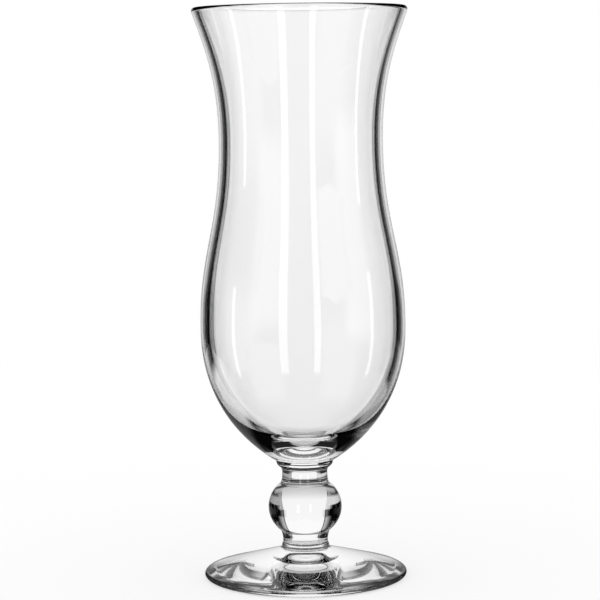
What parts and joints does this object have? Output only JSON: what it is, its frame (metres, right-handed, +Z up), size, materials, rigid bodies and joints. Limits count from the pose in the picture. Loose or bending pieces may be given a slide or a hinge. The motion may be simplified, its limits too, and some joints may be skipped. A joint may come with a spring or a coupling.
{
  "type": "cocktail glass",
  "caption": "Clear footed cocktail glass with a tall flared, waisted bowl on a short ball stem and a round foot, for mixed drinks over ice.",
  "frame": {"origin": "on the table under the middle of the foot, at the plane of the ring that the glass stands on", "axes": "+Z up along the axis of the glass, from the foot to the rim; the glass is round, so +X and +Y are any two level directions"},
  "size_m": [0.0798, 0.0798, 0.213],
  "materials": {
    "clear_glass": "clear, fire-polished"
  },
  "bodies": {
    "root": {"bowl": "clear_glass", "upper_collar": "clear_glass", "ball_knop": "clear_glass", "lower_collar": "clear_glass", "foot": "clear_glass"}
  },
  "joints": []
}
